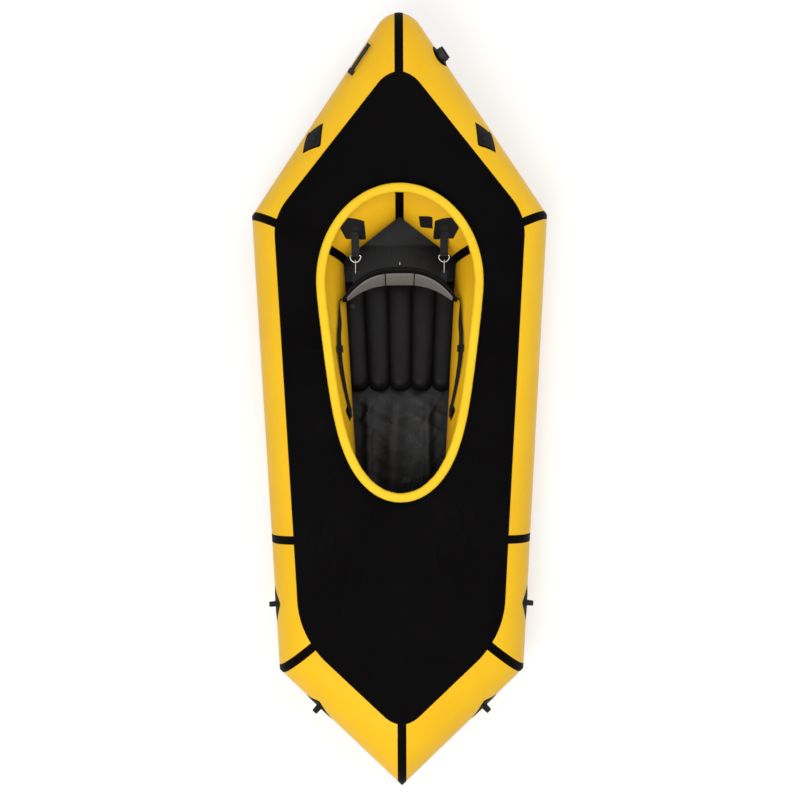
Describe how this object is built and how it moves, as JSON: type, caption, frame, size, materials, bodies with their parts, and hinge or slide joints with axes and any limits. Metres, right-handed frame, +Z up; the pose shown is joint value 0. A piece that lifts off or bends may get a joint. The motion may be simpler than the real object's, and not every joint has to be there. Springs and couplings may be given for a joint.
{
  "type": "inflatable packraft with spray deck",
  "caption": "Pointed inflatable packraft with a fixed spray deck, pear-shaped coaming, seat pad, strapped backband, tie-down loops and air valves.",
  "frame": {"origin": "on the ground under the middle of the boat's box", "axes": "+Z up, -Y towards the bow, +Y towards the stern, +X to the paddler's left as they face the bow"},
  "size_m": [0.9446, 2.3471, 0.4486],
  "materials": {
    "hull_fabric": "yellow coated fabric, satin",
    "coaming_fabric": "brighter yellow coated fabric, satin",
    "tape": "black coated tape and patches, satin",
    "sheet": "black coated fabric, matte",
    "webbing": "dark woven webbing",
    "lining": "grey knitted lining",
    "plastic": "black moulded plastic, satin",
    "steel": "bright wire"
  },
  "bodies": {
    "hull": {"bow_seam_tape": "tape", "bow_tie_down_left": "tape", "bow_tie_down_right": "tape", "bow_tube_left": "hull_fabric", "bow_tube_right": "hull_fabric", "coaming_rod": "plastic", "coaming_skirt": "coaming_fabric", "coaming_sleeve": "coaming_fabric", "deck_sheet": "sheet", "floor_sheet": "sheet", "front_corner_tape_left": "tape", "front_corner_tape_right": "tape", "front_side_tube_left": "hull_fabric", "front_side_tube_right": "hull_fabric", "front_strap_left": "webbing", "front_strap_patch_left": "tape", "front_strap_patch_right": "tape", "front_strap_right": "webbing", "inner_patch_left": "tape", "inner_patch_right": "tape", "mouth_tube": "tape", "mouth_tube_base": "plastic", "rear_corner_tape_left": "tape", "rear_corner_tape_right": "tape", "rear_side_tube_left": "hull_fabric", "rear_side_tube_right": "hull_fabric", "seat_pad": "sheet", "seat_valve": "plastic", "side_seam_tape_left": "tape", "side_seam_tape_right": "tape", "side_tie_down_left": "tape", "side_tie_down_right": "tape", "spare_patch": "tape", "stern_seam_tape": "tape", "stern_tie_down_left": "tape", "stern_tie_down_right": "tape", "stern_tube_left": "hull_fabric", "stern_tube_right": "hull_fabric", "valve_body": "plastic", "valve_patch": "tape"},
    "band": {"backband": "sheet", "backband_lining_left": "lining", "backband_lining_middle": "lining", "backband_lining_right": "lining", "backband_webbing": "webbing", "centre_hook": "steel", "snap_hook_left": "steel", "snap_hook_right": "steel"},
    "gate_left": {"hook_gate_left": "steel"},
    "gate_right": {"hook_gate_right": "steel"},
    "strap_left": {"rear_strap_left": "webbing"},
    "strap_right": {"rear_strap_right": "webbing"},
    "ring_left": {"strap_ring_left": "steel"},
    "ring_right": {"strap_ring_right": "steel"},
    "buckle_left": {"strap_buckle_left": "plastic"},
    "buckle_right": {"strap_buckle_right": "plastic"},
    "cap": {"valve_cap": "plastic"},
    "poppet": {"valve_poppet": "plastic"},
    "mouthpiece": {"mouthpiece": "plastic"},
    "plug": {"seat_plug": "plastic"}
  },
  "joints": [
    {"name": "backband_tilt", "type": "hinge", "parent": "hull", "child": "band", "pos_m": [0, 0.294, 0.236], "axis": [1, 0, 0], "range_deg": [-5, 5]},
    {"name": "rear_strap_right_swing", "type": "hinge", "parent": "hull", "child": "strap_right", "pos_m": [0.138, 0.47966, 0.25022], "axis": [1, 0, 0], "range_deg": [-10, 10]},
    {"name": "strap_ring_right_swing", "type": "hinge", "parent": "strap_right", "child": "ring_right", "pos_m": [0.138, 0.436, 0.24643], "axis": [1, 0, 0], "range_deg": [-5, 5]},
    {"name": "hook_gate_right_open", "type": "hinge", "parent": "band", "child": "gate_right", "pos_m": [0.138, 0.40723, 0.23436], "axis": [-1, 0, 0], "range_deg": [0, 20], "stiffness_Nm_per_rad": 0.004, "springref_deg": -17.19},
    {"name": "strap_buckle_right_slide", "type": "slide", "parent": "hull", "child": "buckle_right", "axis": [-0.0568, -0.9983, -0.0118], "range_m": [-0.012, 0.012]},
    {"name": "rear_strap_left_swing", "type": "hinge", "parent": "hull", "child": "strap_left", "pos_m": [-0.138, 0.47966, 0.25022], "axis": [1, 0, 0], "range_deg": [-10, 10]},
    {"name": "strap_ring_left_swing", "type": "hinge", "parent": "strap_left", "child": "ring_left", "pos_m": [-0.138, 0.436, 0.24643], "axis": [1, 0, 0], "range_deg": [-5, 5]},
    {"name": "hook_gate_left_open", "type": "hinge", "parent": "band", "child": "gate_left", "pos_m": [-0.138, 0.40723, 0.23436], "axis": [-1, 0, 0], "range_deg": [0, 20], "stiffness_Nm_per_rad": 0.004, "springref_deg": -17.19},
    {"name": "strap_buckle_left_slide", "type": "slide", "parent": "hull", "child": "buckle_left", "axis": [0.0568, -0.9983, -0.0118], "range_m": [-0.012, 0.012]},
    {"name": "valve_cap_twist", "type": "hinge", "parent": "hull", "child": "cap", "pos_m": [0.1247, 1.03225, 0.30864], "axis": [0.7782, 0.475, 0.4108], "range_deg": [0, 90]},
    {"name": "valve_button_push", "type": "slide", "parent": "hull", "child": "poppet", "axis": [-0.7782, -0.475, -0.4108], "range_m": [0, 0.004], "stiffness_N_per_m": 150, "springref_m": -0.003},
    {"name": "mouthpiece_pull", "type": "slide", "parent": "hull", "child": "mouthpiece", "axis": [0.5807, 0.7949, 0.1759], "range_m": [0, 0.004]},
    {"name": "seat_plug_lift", "type": "slide", "parent": "hull", "child": "plug", "axis": [0, 0, 1], "range_m": [0, 0.004]}
  ],
  "couplings": [
    {"joint": "rear_strap_right_swing", "follows": "backband_tilt", "ratio": -1.8816},
    {"joint": "rear_strap_left_swing", "follows": "backband_tilt", "ratio": -1.8816}
  ]
}
